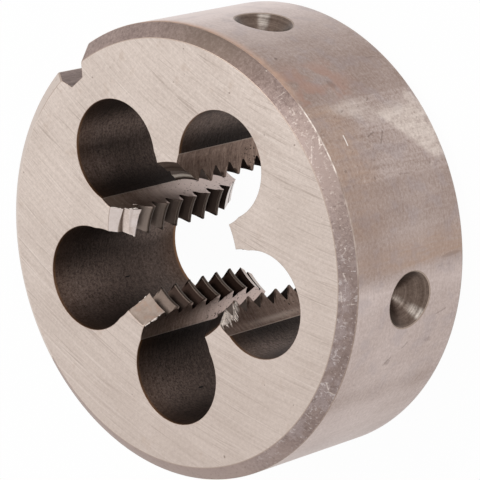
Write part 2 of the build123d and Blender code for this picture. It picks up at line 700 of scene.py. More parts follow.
def add_torn_steel(skin):
    """Burrs on the lower and the upper land, two slivers, and the torn corner."""
    add_burr(skin, lower_land, left, 17.93, 17.32, size=0.09, stand=0.04)
    add_burr(skin, lower_land, left, 17.28, 16.62, size=0.14, stand=0.05)
    add_burr(skin, lower_land, left, 16.50, 16.25, size=0.07)
    add_burr(skin, lower_land, right, 16.36, 16.10, size=0.10)
    add_burr(skin, lower_land, right, 16.95, 16.60, size=0.05)
    add_burr(skin, upper_land, right, 17.90, 17.05, size=0.07)
    add_burr(skin, upper_land, right, 16.74, 16.44, size=0.05)
    add_burr(skin, upper_land, right, 16.46, 16.14, size=0.09, stand=0.04)
    add_burr(skin, upper_land, right, 16.16, 15.80, size=0.13, stand=0.10)
    add_burr(skin, upper_land, left, 16.00, 15.72, size=0.08)
    add_sliver(skin, upper_land, right, (8.16, 14.75), (8.28, 15.25), size=0.07)
    add_sliver(skin, worn_land, left, (7.20, 15.10), (8.50, 15.14), size=0.08)
    add_torn_corner(skin, worn_land, left)


def is_inside(spots, loop):
    """Whether each spot lies inside a closed loop, by counting the edges to its right."""
    x, y = spots[:, 0, None], spots[:, 1, None]
    start, end = loop, np.roll(loop, -1, axis=0)
    spans = (start[:, 1] > y) != (end[:, 1] > y)
    rise = np.where(end[:, 1] == start[:, 1], 1.0, end[:, 1] - start[:, 1])
    crossing = start[:, 0] + (y - start[:, 1]) * (end[:, 0] - start[:, 0]) / rise
    return (spans & (x < crossing)).sum(axis=1) % 2 == 1


def add_flat_face(skin, outer, inner, height):
    """A flat ground face between the rim's outline and the holes' outline."""
    points = [Vector(point[:2]) for point in (*outer, *inner)]
    first = len(outer)
    edges = [(k, (k + 1) % first) for k in range(first)]
    edges += [(first + k, first + (k + 1) % len(inner)) for k in range(len(inner))]
    inside_the_edges = 1
    same_point = 1e-6
    flat, _, triangles = delaunay_2d_cdt(points, edges, [], inside_the_edges, same_point)[:3]
    flat = np.array(flat)
    triangles = np.array(triangles)
    steel = ~is_inside(flat[triangles].mean(axis=1), inner[:, :2])
    start = skin.add_points(np.column_stack([flat, np.full(len(flat), height)]))
    for triangle in triangles[steel]:
        skin.add_face([start + int(corner) for corner in triangle], "ground_face")


skin = Skin()
back_outer, front_outer = add_outside(skin)
back_inner, front_inner = add_inside(skin)
add_flat_face(skin, back_outer, back_inner, 0.0)
add_flat_face(skin, front_outer, front_inner, thickness)
add_torn_steel(skin)
die = skin.make("ground_die")
weighted = die.modifiers.new("face_weighted_normals", "WEIGHTED_NORMAL")
weighted.keep_sharp = True
weighted.weight = 50


def seen(red, green, blue):
    """A colour as a screen shows it, from 0 to 255, as the light that a shader works in."""
    shares = [value / 255 for value in (red, green, blue)]
    return tuple(v / 12.92 if v < 0.04045 else ((v + 0.055) / 1.055) ** 2.4 for v in shares)


class Number:
    """A number that a node gives. Python's operators on it add Math nodes."""

    def __init__(self, tree, socket):
        self.tree = tree
        self.socket = socket

    def __add__(self, other):
        return self.tree.math("ADD", self, other)

    def __sub__(self, other):
        return self.tree.math("SUBTRACT", self, other)

    def __rsub__(self, other):
        return self.tree.math("SUBTRACT", other, self)

    def __mul__(self, other):
        return self.tree.math("MULTIPLY", self, other)

    def __truediv__(self, other):
        return self.tree.math("DIVIDE", self, other)

    def __abs__(self):
        return self.tree.math("ABSOLUTE", self)

    __radd__ = __add__
    __rmul__ = __mul__


class Tree:
    """A node tree, written as Python expressions."""

    def __init__(self, tree):
        self.tree = tree
        tree.nodes.clear()

    def node(self, kind, settings=None, inputs=None):
        """Adds a node: first its settings, then the values or links of its sockets."""
        node = self.tree.nodes.new(kind)
        for name, value in (settings or {}).items():
            setattr(node, name, value)
        for name, value in (inputs or {}).items():
            socket = node.inputs[name]
            value = value.socket if isinstance(value, Number) else value
            if isinstance(value, bpy.types.NodeSocket):
                self.tree.links.new(value, socket)
            elif socket.type == "RGBA":
                socket.default_value = (*value, 1.0)
            else:
                socket.default_value = value
        return node

    def math(self, operation, *values):
        node = self.node("ShaderNodeMath", {"operation": operation}, dict(enumerate(values)))
        return Number(self, node.outputs[0])

    def smallest(self, *values):
        return functools.reduce(lambda first, second: self.math("MINIMUM", first, second), values)

    def largest(self, *values):
        return functools.reduce(lambda first, second: self.math("MAXIMUM", first, second), values)

    def background_rays(self):
        """1 for the rays that show what is behind the die: the camera's, gloss's and glass's."""
        path = self.node("ShaderNodeLightPath").outputs
        kinds = ("Is Camera Ray", "Is Glossy Ray", "Is Transmission Ray")
        return self.largest(*(Number(self, path[kind]) for kind in kinds))


class Finish(Tree):
    """One finish of the die: masks in the die's own millimetres and degrees, and a colour."""

    def __init__(self, name):
        self.material = bpy.data.materials.new(name)
        self.material.use_nodes = True
        super().__init__(self.material.node_tree)
        self.colour = None
        place = self.node("ShaderNodeTexCoord").outputs["Object"]
        scaled = self.node("ShaderNodeVectorMath", {"operation": "SCALE"}, {0: place, "Scale": 1 / MM})
        split = self.node("ShaderNodeSeparateXYZ", {}, {0: scaled.outputs[0]})
        self.x, self.y, self.z = (Number(self, socket) for socket in split.outputs)

    @functools.cached_property
    def azimuth(self):
        """Degrees round the die's axis, from -180 to 180."""
        return self.math("ARCTAN2", self.y, self.x) * (180 / math.pi)

    @functools.cached_property
    def distance(self):
        """Distance from the die's axis."""
        return self.hypotenuse(self.x, self.y)

    @functools.cached_property
    def along_rim(self):
        """Distance round the rim."""
        return self.azimuth * math.radians(rim_radius)

    @functools.cached_property
    def from_face(self):
        """Distance from the nearer face."""
        return self.smallest(self.z, thickness - self.z)

    def hypotenuse(self, x, y):
        return self.math("SQRT", x * x + y * y)

    def fine(self, density):
        """The place in units so small that this many fit in a millimetre, for a noise."""
        return self.x * density, self.y * density, self.z * density

    def noise(self, x, y, z, detail=2.0, roughness=0.5):
        """Noise about 0.5, at one feature for each unit of its coordinates."""
        place = self.node("ShaderNodeCombineXYZ", {}, {0: x, 1: y, 2: z}).outputs[0]
        inputs = {"Vector": place, "Scale": 1.0, "Detail": detail, "Roughness": roughness}
        return Number(self, self.node("ShaderNodeTexNoise", {}, inputs).outputs[0])

    def waver(self, x, y, z, detail=2.0, roughness=0.5):
        """The same noise about zero, reaching about half a unit each way."""
        return (self.noise(x, y, z, detail, roughness) - 0.5) * 2.4

    def grain(self, density):
        """Sharp grain about zero, this many grains to a millimetre."""
        return self.waver(*self.fine(density), 3.0, 0.9)

    def ramp(self, value, low, high, start=0.0, end=1.0):
        """A smooth step of a value, from start at low to end at high."""
        settings = {"interpolation_type": "SMOOTHSTEP"}
        inputs = {"Value": value, 1: low, 2: high, 3: start, 4: end}
        return Number(self, self.node("ShaderNodeMapRange", settings, inputs).outputs[0])

    def window(self, value, start, full, fading, end):
        """1 where a value is from full to fading, and 0 before the start and after the end."""
        return self.ramp(value, start, full) * self.ramp(value, end, fading)

    def bell(self, value, centre, width):
        """1 where a value is at the centre, falling smoothly to 0 at a width from it."""
        return self.ramp(abs(value - centre), width, 0.0)

    def around(self, azimuth, outer, inner):
        """1 within an inner angle of an azimuth, falling to 0 at an outer one."""
        centre = (azimuth + 180) % 360 - 180
        return self.ramp(abs(self.azimuth - centre), outer, inner)

    def spot(self, across, up, centre, height, half_width, half_height):
        """1 inside a small soft oval, 0 outside it."""
        aside = (across - centre) / half_width
        above = (up - height) / half_height
        return self.ramp(aside * aside + above * above, 1.3, 0.5)

    def scratch(self, across, up, start, end, half_width, half_height):
        """1 along a short straight scratch between two places."""
        run = (end[0] - start[0]) / half_width
        rise = (end[1] - start[1]) / half_height
        aside = (across - start[0]) / half_width
        above = (up - start[1]) / half_height
        share = (aside * run + above * rise) / (run * run + rise * rise)
        share = self.smallest(self.largest(share, 0.0), 1.0)
        off_across = aside - share * run
        off_up = above - share * rise
        return self.ramp(off_across * off_across + off_up * off_up, 1.3, 0.4)

    def mix(self, factor, first, second):
        """A colour between two, each a socket or red, green and blue as a screen shows it."""
        first, second = (seen(*c) if isinstance(c, tuple) else c for c in (first, second))
        node = self.node("ShaderNodeMix", {"data_type": "RGBA"}, {0: factor, 6: first, 7: second})
        return node.outputs[2]

    def base(self, share, dark, pale):
        """Starts the finish's colour, between a dark and a pale one."""
        self.colour = self.mix(share, dark, pale)

    def tint(self, mask, colour):
        """Lays another colour over the finish, as strongly as a mask says."""
        self.colour = self.mix(mask, self.colour, colour)

    def done(self, roughness, metallic=1.0, height=None, bump=0.0):
        """Ends the tree in one Principled shader. height is in parts of bump, in millimetres."""
        inputs = {"Base Color": self.colour, "Roughness": roughness, "Metallic": metallic}
        if height is not None:
            relief = {"Strength": 1.0, "Distance": bump * MM, "Height": height}
            inputs["Normal"] = self.node("ShaderNodeBump", {}, relief).outputs[0]
        shader = self.node("ShaderNodeBsdfPrincipled", {}, inputs)
        output = self.node("ShaderNodeOutputMaterial", {}, {"Surface": shader.outputs[0]})
        self.tree.nodes.active = output
        return self.material


# The face was ground under a wheel whose axis stood beside the die, so its lines are arcs
grinding_axis = (67.6, 34.8)


def ground_face():
    """Surface-ground steel: long fine lines, faint stains, a few pits, and painted shade towards negative
    y.
    """
    f = Finish("ground_face")
    aside = f.x - grinding_axis[0]
    above = f.y - grinding_axis[1]
    across = f.hypotenuse(aside, above)
    along = f.math("ARCTAN2", above, aside) * math.hypot(*grinding_axis)
    fine = f.waver(along * 0.10, across * 4.6, 0.0, 3.0, 0.85)
    coarse = f.waver(along * 0.05, across * 1.3, 5.0, 2.0)
    cloud = f.waver(f.x * 0.16, f.y * 0.16, 2.0, 3.0)
    grain = f.waver(f.x * 2.8, f.y * 2.8, 0.0, 3.0, 0.9)
    shade = 0.52 + fine * 0.46 + coarse * 0.16 + cloud * 0.24 + grain * 0.56
    f.base(shade, (184, 169, 159), (226, 212, 203))
    crossing = across + along * 0.09
    hairlines = f.ramp(f.noise(along * 0.05, across * 4.2, 9.0, 2.0, 0.7), 0.575, 0.66)
    strays = f.ramp(f.noise(along * 0.08, crossing * 3.6, 19.0, 2.0, 0.7), 0.60, 0.68)
    broken = f.ramp(f.noise(along * 0.20, across * 0.7, 3.0, 3.0), 0.38, 0.60)
    f.tint(f.largest(hairlines, strays) * broken * 0.42, (144, 127, 116))
    pale_lines = f.ramp(f.noise(along * 0.08, across * 4.4, 14.0, 1.0), 0.64, 0.72)
    f.tint(pale_lines * 0.28, (238, 227, 219))
    # Painted shade: the face grows darker towards negative y
    lower = f.ramp(f.y + f.x * 0.35, 16.0, -22.0)
    f.tint(lower * 0.32, (176, 159, 150))
    stains = f.ramp(f.noise(f.x * 0.5, f.y * 0.5, 21.0, 3.0, 0.6), 0.60, 0.72)
    f.tint(stains * 0.22, (176, 152, 134))
    spots = f.ramp(f.noise(f.x * 0.9, f.y * 0.9, 33.0, 3.0, 0.7), 0.68, 0.76)
    f.tint(spots * 0.30, (140, 120, 106))
    pits = f.ramp(f.noise(f.x * 1.6, f.y * 1.6, 4.0, 1.0), 0.76, 0.79)
    f.tint(pits * 0.6, (120, 102, 92))
    return f.done(0.38 - fine * 0.05, height=fine, bump=0.003)


def chamfer_tone_and_painted_light(f):
    """How pale the chamfer is round the die, between its dark and its pale colour, with painted light
    about azimuth -8.
    """
    return (
        0.50
        + f.bell(f.azimuth, -8.0, 30.0) * 0.66
        - f.bell(f.azimuth, 34.0, 30.0) * 0.46
        - f.bell(f.azimuth, 10.0, 9.0) * 0.14
        - f.bell(f.azimuth, -25.0, 11.0) * 0.20
        + f.ramp(f.azimuth, 66.0, 84.0) * 0.25
        + f.ramp(f.azimuth, -66.0, -120.0) * 0.5
    )


def chamfer_knocks(f, slant, upper):
    """Small knocks, scuffs both ways and flecks on the chamfer."""
    length = f.along_rim
    knocks = f.ramp(f.noise(length * 1.9, slant * 2.6, 18.0, 4.0, 0.8), 0.625, 0.67)
    lengthwise = f.ramp(f.noise(length * 0.7, slant * 6.5, 1.0, 3.0, 0.7), 0.64, 0.70)
    slanting = length * 3.6 + slant * 1.5
    crosswise = f.ramp(f.noise(slanting, slant * 1.0, 2.0, 3.0, 0.7), 0.65, 0.72)
    flecks = f.ramp(f.noise(length * 3.0, slant * 4.6, 6.0, 1.0) + upper * 0.04, 0.65, 0.70)
    return f.largest(knocks, lengthwise * 0.7, crosswise * 0.7, flecks * (0.7 + upper * 0.3))


def scratch_chamfer(f, slant, grain):
    """Scratches on the chamfer, each from one azimuth and share of the slant to another."""
    dashes = f.ramp(f.noise(f.along_rim * 4.5, slant * 5.0, 12.0, 2.0), 0.40, 0.54, 0.30, 1.0)

    def scratch(start, end, strength):
        line = f.scratch(f.azimuth + grain * 0.25, slant, start, end, 0.11, 0.04)
        f.tint(line * dashes * strength, (228, 216, 207))

    scratch((-5.8, 0.06), (-2.0, 0.43), 0.50)
    scratch((-2.6, 0.82), (-0.4, 0.99), 0.85)
    scratch((-2.8, 0.92), (-2.6, 0.82), 0.85)
    scratch((-42.3, 0.50), (-42.0, 0.90), 0.60)
    scratch((-36.4, 0.40), (-34.4, 0.28), 0.55)
    scratch((-41.6, 0.20), (-39.0, 0.14), 0.45)
    scratch((-28.9, 0.50), (-28.2, 0.48), 0.90)
    scratch((-66.0, 0.55), (-64.2, 0.30), 0.55)
    scratch((-66.4, 0.60), (-66.6, 0.92), 0.60)
    scratch((13.5, 0.27), (13.2, 0.88), 0.22)
    scratch((20.9, 0.87), (20.6, 0.90), 0.60)


def turned_chamfer():
    """The chamfer: turned, hardened and left matte, knocked and scratched in use."""
    f = Finish("turned_chamfer")
    length = f.along_rim
    slant = f.from_face / chamfer_height
    grain = f.waver(length * 2.6, slant * 4.6, 0.0, 3.0, 0.9)
    cloud = f.waver(length * 0.35, slant * 0.8, 3.0, 2.0)
    worn = f.window(f.azimuth, -110.0, -76.0, 8.0, 20.0)
    lower = f.ramp(f.azimuth, -20.0, -36.0)
    upper = f.bell(f.azimuth, 4.0, 18.0)
    inner = f.ramp(slant, 0.75, 0.15)
    shade = chamfer_tone_and_painted_light(f) + grain * (0.80 - lower * 0.30) + cloud * 0.30
    f.base(shade, (113, 96, 91), (168, 150, 143))
    f.tint(f.bell(f.azimuth, 38.0, 26.0) * 0.4, (122, 109, 96))
    f.tint(f.ramp(f.azimuth, 90.0, 92.0) * 0.85, (212, 199, 190))
    specks = f.ramp(f.noise(length * 2.8, slant * 4.0, 31.0, 2.0), 0.60, 0.70)
    f.tint(specks * 0.26, (92, 77, 70))
    smears = f.ramp(f.noise(length * 0.30, slant * 0.7, 28.0, 4.0, 0.8) + inner * 0.08, 0.48, 0.62)
    smears = smears * (grain * 0.5 + 0.6) * worn
    f.tint(smears * (0.14 + lower * 0.36), (184, 172, 172))
    ragged_edge = f.noise(length * 0.85, slant * 1.3, 8.0, 5.0, 0.85)
    patches = f.ramp(ragged_edge + inner * 0.03 + upper * 0.02, 0.585, 0.635)
    marks = f.largest(patches * (grain * 0.5 + 0.85), chamfer_knocks(f, slant, upper))
    marks = marks * (0.08 + worn * 0.92)
    bare_steel = f.mix(lower, (216, 203, 194), (208, 198, 195))
    f.tint(marks * (0.48 + lower * 0.16), bare_steel)
    scratch_chamfer(f, slant, grain)
    return f.done(0.58, height=grain + marks, bump=0.008)


def rim_tone_and_painted_light(f, bright_patch_side):
    """How pale the rim is round the die, between its dark and its pale colour, with painted reflection."""
    azimuth = f.azimuth
    return (
        0.62
        - f.ramp(azimuth, -42.0, -36.5) * 0.26
        - f.ramp(azimuth, -33.0, -22.0) * 0.12
        - f.window(azimuth, -40.0, -37.0, -26.0, -20.0) * f.ramp(f.z, 10.0, 15.0) * 0.13
        - f.ramp(azimuth, -38.0, -46.0) * f.ramp(f.z, 9.0, 2.0) * 0.10
        + bright_patch_side * 0.08
        - f.ramp(azimuth, 5.0, 9.0) * 0.10
        - f.ramp(azimuth, -43.0, -50.0) * 0.08
        # Painted reflection: paler past azimuth 17, where the rim shows the bright surroundings at a
        # grazing angle
        + f.window(azimuth, 17.0, 54.0, 90.0, 122.0) * 0.70
        + f.window(azimuth, 42.0, 64.0, 90.0, 122.0) * 0.46
        - f.bell(azimuth, -70.0, 7.0) * 0.16
    )


def stain_rim(f, bright_patch_side, streaks):
    """Brown, red and bluish stains on the rim, and a brown one under its front edge."""
    azimuth, height = f.azimuth, f.z
    brown = f.largest(
        f.window(azimuth, -38.0, -35.5, -33.0, -27.0) * f.ramp(height, 17.0, 6.0, 0.5, 1.0),
        bright_patch_side * f.ramp(height, 10.0, 13.5) * 0.9,
        f.window(azimuth, -30.0, -26.0, -14.5, -12.0) * f.ramp(height, 9.0, 15.0) * 0.5,
    )
    f.tint(brown * (0.40 + streaks * 0.5), (168, 136, 112))
    reds = f.ramp(f.noise(f.along_rim * 0.5, height * 0.45, 17.0, 2.0), 0.42, 0.60)
    red_side = f.window(azimuth, 6.6, 8.5, 15.0, 24.0) * f.ramp(height, 6.0, 11.0)
    f.tint(red_side * reds * 0.55, (172, 134, 118))
    blues = f.ramp(f.noise(f.along_rim * 0.5, height * 0.45, 27.0, 2.0), 0.50, 0.66)
    f.tint(blues * f.around(0.0, 84.0, 50.0) * 0.22, (162, 152, 156))
    under_edge = f.ramp(height + streaks * 0.3, 15.6, 16.9) * f.ramp(azimuth, 7.0, 14.0)
    f.tint(under_edge * (0.62 + reds * 0.2), (200, 166, 146))


def reflection_and_wear_rim(f, bright_patch_side, streaks, grain):
    """A bright patch on the rim painted as a reflection, and pale and dark wear all round it."""
    azimuth, length, height = f.azimuth, f.along_rim, f.z
    # Painted reflection: a bright diagonal patch with a sharp upper edge, and two smaller ones beside it
    upper_edge = height - 2.5 - (azimuth + 13.0) * 0.38
    patch = f.ramp(upper_edge, 0.6, -0.6) * f.window(azimuth, -14.5, -10.0, 0.0, 5.0)
    slanting_edge = azimuth + (13.0 - height) * 0.9
    second = f.ramp(azimuth, 7.6, 5.4) * f.ramp(slanting_edge, 2.5, 4.5) * f.bell(height, 11.0, 4.5)
    third = f.spot(azimuth, height, 3.8, 2.2, 2.4, 0.8)
    mottle = f.noise(length * 1.3, height * 1.0, 7.0, 4.0, 0.7)
    patches = f.largest(patch, second * 0.6, third * 0.7) * f.ramp(mottle, 0.30, 0.54, 0.30, 1.0)
    f.tint(patches * (0.60 + grain * 0.35 + streaks * 0.3), (232, 219, 209))
    pale = f.ramp(f.noise(length * 1.6, height * 1.6, 11.0, 3.0, 0.6), 0.60, 0.72)
    f.tint(pale * (0.10 + bright_patch_side * 0.35), (205, 190, 181))
    dark = f.ramp(f.noise(length * 2.2 + height * 0.8, height * 1.2, 13.0, 2.0), 0.66, 0.76)
    f.tint(dark * (0.15 + bright_patch_side * 0.35), (106, 90, 82))


def mark_rim(f, streaks, grain):
    """Strokes on the rim, from one azimuth and height to another, and small dark marks."""
    bright = f.scratch(f.azimuth, f.z, (-4.5, 13.76), (-1.9, 13.72), 0.16, 0.07)
    f.tint(bright, (240, 232, 225))

    def stroke(start, end, strength):
        line = f.scratch(f.azimuth, f.z, start, end, 0.2, 0.09)
        f.tint(line * strength, (96, 80, 72))

    stroke((-6.0, 9.3), (-3.0, 8.3), 0.4)
    stroke((-3.6, 10.6), (-2.8, 9.6), 0.35)
    stroke((-14.6, 7.0), (-14.2, 8.4), 0.2)
    stroke((-61.4, 11.0), (-59.6, 10.2), 0.3)
    stroke((-57.8, 8.8), (-56.6, 8.2), 0.35)
    stroke((-50.8, 4.6), (-50.0, 3.2), 0.3)
    stroke((17.6, 2.4), (17.9, 3.6), 0.35)

    def mark(azimuth, height, half_width, half_height, strength):
        across = f.azimuth + grain * half_width
        up = f.z + streaks * half_height
        spot = f.spot(across, up, azimuth, height, half_width, half_height)
        f.tint(spot * strength, (104, 86, 78))

    mark(23.6, 14.6, 0.5, 0.22, strength=0.6)
    mark(12.1, 11.0, 1.2, 0.5, strength=0.3)
    mark(-60.8, 10.5, 1.0, 0.4, strength=0.3)
    mark(-57.5, 5.0, 0.7, 0.5, strength=0.25)
    mark(-36.2, 3.0, 0.6, 1.2, strength=0.25)


def ground_rim():
    """The rim, ground round: soft bands, brown and red stains, a painted reflection in a bright patch and
    paler tone.
    """
    f = Finish("ground_rim")
    length = f.along_rim
    # The band of the rim round the painted reflection, where the rim is more streaked and stained
    bright_patch_side = f.window(f.azimuth, -15.2, -14.2, 6.6, 7.4)
    bands = f.waver(length * 0.7, f.z * 0.03, 1.0, 3.0, 0.6)
    streaks = f.waver(length * 2.2, f.z * 0.16, 5.0, 3.0, 0.7)
    cloud = f.waver(length * 0.22, f.z * 0.22, 3.0, 3.0)
    grain = f.waver(length * 2.8, f.z * 3.2, 0.0, 3.0, 0.85)
    lines = f.waver(length * 0.3, f.z * 6.0, 2.0, 2.0)
    shade = rim_tone_and_painted_light(f, bright_patch_side) + bands * 0.08 + cloud * 0.14 + lines * 0.08
    shade = shade + streaks * (0.07 + bright_patch_side * 0.22) + grain * (0.40 + bright_patch_side * 0.16)
    f.base(shade, (151, 130, 120), (222, 207, 202))
    stain_rim(f, bright_patch_side, streaks)
    reflection_and_wear_rim(f, bright_patch_side, streaks, grain)
    mark_rim(f, streaks, grain)
    return f.done(0.46, height=grain * 0.5 + lines, bump=0.004)


def hole_sheens(f):
    """The soft sheens down the chip holes' walls, and a shade on each hole's far sides."""

    def own_frame(hole):
        """The bearing from a hole's centre, 0 away from the die's axis, and 1 on its wall."""
        angle = math.radians(slot_azimuth + hole * hole_spacing)
        aside = f.x - hole_circle * math.cos(angle)
        above = f.y - hole_circle * math.sin(angle)
        outward = aside * math.cos(angle) + above * math.sin(angle)
        across = above * math.cos(angle) - aside * math.sin(angle)
        bearing = f.math("ARCTAN2", across, outward) * (180 / math.pi)
        return bearing, f.ramp(f.hypotenuse(aside, above), hole_radius + 0.6, hole_radius + 0.3)

    frames = [own_frame(hole) for hole in range(hole_count)]

    def sheen(hole, middle, reach, dim_height, bright_height, strength):
        """A sheen in one hole, the holes counted from the one at the slot."""
        bearing, here = frames[hole]
        up = f.ramp(f.z, dim_height, bright_height, 0.30, 1.0)
        return f.bell(bearing, middle, reach) * here * up * strength

    sheens = f.largest(
        sheen(0, 37.0, 26.0, -6.0, 16.0, strength=0.66),
        sheen(0, 80.0, 25.0, 11.5, 16.0, strength=1.05),
        sheen(1, 16.0, 60.0, 7.0, 17.0, strength=0.92),
        sheen(1, -40.0, 24.0, 9.0, 3.0, strength=0.62),
        sheen(2, -62.0, 50.0, 7.0, 16.0, strength=0.74),
        sheen(3, -92.0, 26.0, 6.0, 16.0, strength=0.85),
        sheen(4, 82.0, 34.0, 4.0, 14.0, strength=0.98),
    )
    shades = f.largest(*(f.ramp(abs(bearing), 88.0, 112.0) * here for bearing, here in frames))
    return sheens, shades


def hole_wall():
    """Bored chip hole walls, dark from hardening and painted shade, with painted sheens, browned and
    rusted at the faces.
    """
    f = Finish("bored_hole_wall")
    strokes = f.waver(f.x * 0.7, f.y * 0.7, f.z * 3.4, 3.0, 0.75)
    grain = f.grain(3.9)
    cloud = f.waver(f.x * 0.25, f.y * 0.25, f.z * 0.2, 2.0)
    sheens, shades = hole_sheens(f)
    # Painted sheens down the walls and painted shade on their far sides; the tone is also a little paler
    # towards the front face
    tone = 0.14 + cloud * 0.03 + sheens * 0.48 - shades * 0.07 + f.ramp(f.z, 11.0, 17.0) * 0.05
    shade = tone * (strokes * 0.46 + grain * 1.60 + 1.0)
    f.base(shade, (22, 10, 5), (151, 130, 120))
    browned = f.ramp(f.from_face, 3.5, 0.0)
    f.tint(browned * 0.30, (86, 56, 32))
    rust = f.ramp(f.from_face + grain * 0.1, 0.50, 0.10)
    f.tint(rust * 0.65, (146, 104, 68))
    nicks = f.largest(
        f.spot(f.y, f.z, 4.49, 7.9, 0.09, 0.40),
        f.spot(f.y, f.z, -10.19, 10.5, 0.09, 0.40),
    )
    f.tint(nicks * f.ramp(f.x, -11.0, -11.5), (12, 7, 5))
    return f.done(0.5, metallic=0.9, height=strokes + grain, bump=0.01)


def worn_corner(f):
    """The bright torn steel at the worn land's first teeth, and the ridges that run over it."""
    ridges = f.waver((f.z - f.distance * 0.31) * 3.4, f.distance * 0.5, 0.0, 3.0, 0.85)
    above = f.z - 14.7 - f.ramp(f.distance, 7.6, 8.9) * 1.4
    near_edge = f.ramp(f.distance, 9.3, 8.2) * 0.36 + f.ramp(above, -0.2, 1.2) * 0.36
    chips = f.ramp(f.noise(f.y * 3.4, f.z * 3.4, 7.0, 2.0, 0.8), 0.57, 0.64)
    place = f.around(worn_land + 9.0, 9.0, 6.0) * f.ramp(f.distance, 9.5, 8.9)
    place = place * f.ramp(above, -0.5, 0.3)
    torn = f.ramp(ridges * 1.1 + near_edge, 0.36, 0.58) * (1 - chips * 0.75) * place
    return torn, ridges


def scratches_and_glint_on_flank(f):
    """Pale scratches by the upper land's first teeth and one painted glint, from one radius and height to
    another.
    """
    here = f.around(upper_land - 8.5, 4.0, 3.0)

    def scratch(start, end, strength):
        line = f.scratch(f.distance, f.z, start, end, 0.05, 0.06)
        f.tint(line * here * strength, (235, 222, 212))

    scratch((8.16, 14.75), (8.28, 15.25), 0.90)
    # This one is a small painted glint on the flank
    scratch((8.84, 16.15), (8.86, 16.23), 0.80)
    scratch((9.88, 16.50), (8.98, 16.46), 0.25)
    scratch((9.30, 15.60), (8.40, 15.50), 0.22)
    scratch((9.10, 14.70), (8.50, 14.50), 0.20)


def rake_flank():
    """Rake hollows, ground after hardening: lighter, lined across, pitted deeper down; painted light and
    shade.
    """
    f = Finish("ground_rake_flank")
    strokes = f.waver(f.x * 0.35, f.y * 0.35, f.z * 3.2, 3.0, 0.75)
    grain = f.waver(f.x * 2.6, f.y * 2.6, f.z * 3.0, 3.0, 0.9)
    cloud = f.waver(f.x * 0.5, f.y * 0.5, f.z * 0.4, 2.0)
    shade = 0.50 + strokes * 0.60 + grain * 0.55 + cloud * 0.24
    f.base(shade, (105, 82, 71), (189, 164, 149))
    # Painted light: the upper land's right and the lower land's left flank are paler deeper down
    upper_right = f.around(upper_land - 10.0, 8.0, 5.0)
    f.tint(upper_right * f.ramp(f.z, 15.5, 6.0) * 0.75, (205, 188, 182))
    lower_left = f.around(lower_land + 10.0, 8.0, 5.0)
    f.tint(lower_left * f.ramp(f.z, 13.0, 5.0) * 0.75, (207, 186, 178))
    # Nearer the front face both turn darker and browner
    f.tint(lower_left * f.ramp(f.z, 12.0, 16.0) * 0.35, (84, 70, 62))
    f.tint(upper_right * f.ramp(f.z, 14.0, 16.5) * 0.45, (196, 170, 154))
    # Painted light: the upper land's left flank is paler
    upper_left = f.around(upper_land + 14.0, 14.0, 11.0)
    f.tint(upper_left * 0.5, (214, 194, 183))
    # Painted shade on the worn land's left flank, with a painted sheen in a band down it
    left_of_worn_land = f.around(worn_land + 10.0, 14.0, 10.0)
    f.tint(left_of_worn_land * 0.40, (68, 50, 44))
    band = f.bell(f.distance, 9.45, 0.5) * f.bell(f.z, 10.5, 5.5)
    f.tint(band * left_of_worn_land * 0.5, (196, 180, 168))
    # A painted highlight along the cusp, where flank and hole wall meet
    cusp_highlight = f.bell(f.distance, cusp_radius, 0.16)
    f.tint(cusp_highlight * 0.5, (205, 190, 178))
    pits = f.ramp(f.noise(*f.fine(3.8), 1.0), 0.655, 0.685) * f.ramp(f.z, 10.5, 7.5)
    f.tint(pits * 0.85, (40, 30, 26))
    torn, ridges = worn_corner(f)
    f.tint(torn * 0.92, (255, 240, 228))
    scratches_and_glint_on_flank(f)
    height = strokes + grain + torn * ridges * 8.0
    return f.done(0.42, metallic=0.95 - torn * 0.85, height=height, bump=0.01)


def first_root(f, widest):
    """Height above the first groove's middle on the upper land, and 1 on its flat root, which
    widens across the land."""
    height = f.z - thickness - (f.azimuth - thread_phase) * (pitch / 360)
    half_width = f.ramp(f.azimuth, 115.0, 136.0, 0.12, widest)
    return height, f.ramp(abs(height) - half_width, 0.04, -0.02)


def thread_flank():
    """Cut thread, painted pale where it is open to the light and dark deeper in the bore and in its roots.
    """
    f = Finish("cut_thread_flank")
    lines = f.waver(f.distance * 3.0, f.azimuth * 0.05, f.z * 0.8, 2.0)
    grain = f.grain(2.6)
    f.base(0.5 + lines * 0.35 + grain * 0.40, (100, 87, 80), (138, 125, 116))
    # Painted shade in the grooves' roots and on the lower land
    root = f.ramp(f.distance, 7.3, root_radius)
    f.tint(root * 0.36, (62, 50, 44))
    lower = f.around(lower_land, 17.0, 15.0)
    f.tint(lower * 0.62, (70, 59, 52))
    f.tint(lower * f.ramp(f.z, 15.0, 12.0) * 0.86, (22, 13, 9))
    # Painted light near the mouth of the upper land, and painted shade deeper in the bore
    near_mouth = f.around(upper_land, 17.0, 15.0) * f.ramp(f.z, 12.6, 14.6)
    f.tint(near_mouth * 0.46, (168, 152, 142))
    deep = f.ramp(f.z, 16.6, 8.0)
    f.tint(deep * 0.88, (40, 29, 25))
    f.tint(lower * f.ramp(f.z, 12.0, 8.0) * 0.6, (14, 8, 5))
    # Painted light on the open side of the upper land's first groove
    in_root = first_root(f, 0.27)[1]
    root_wall = f.ramp(f.distance - root_radius, -0.30, -0.20)
    open_flank = f.mix(0.5 + grain * 0.9 + lines * 0.6, (188, 171, 162), (225, 211, 203))
    open_root = f.mix(root_wall, (136, 121, 112), (168, 152, 142))
    first_groove_side = f.around(upper_land, 16.0, 14.0) * f.ramp(f.z, 15.5, 15.7)
    f.tint(first_groove_side * 0.92, f.mix(in_root, open_flank, open_root))
    # Painted shade on the far land
    far = f.around(far_land - 2.0, 16.0, 13.0)
    f.tint(far * 0.6, (48, 38, 34))
    return f.done(0.45, height=lines + grain, bump=0.006)


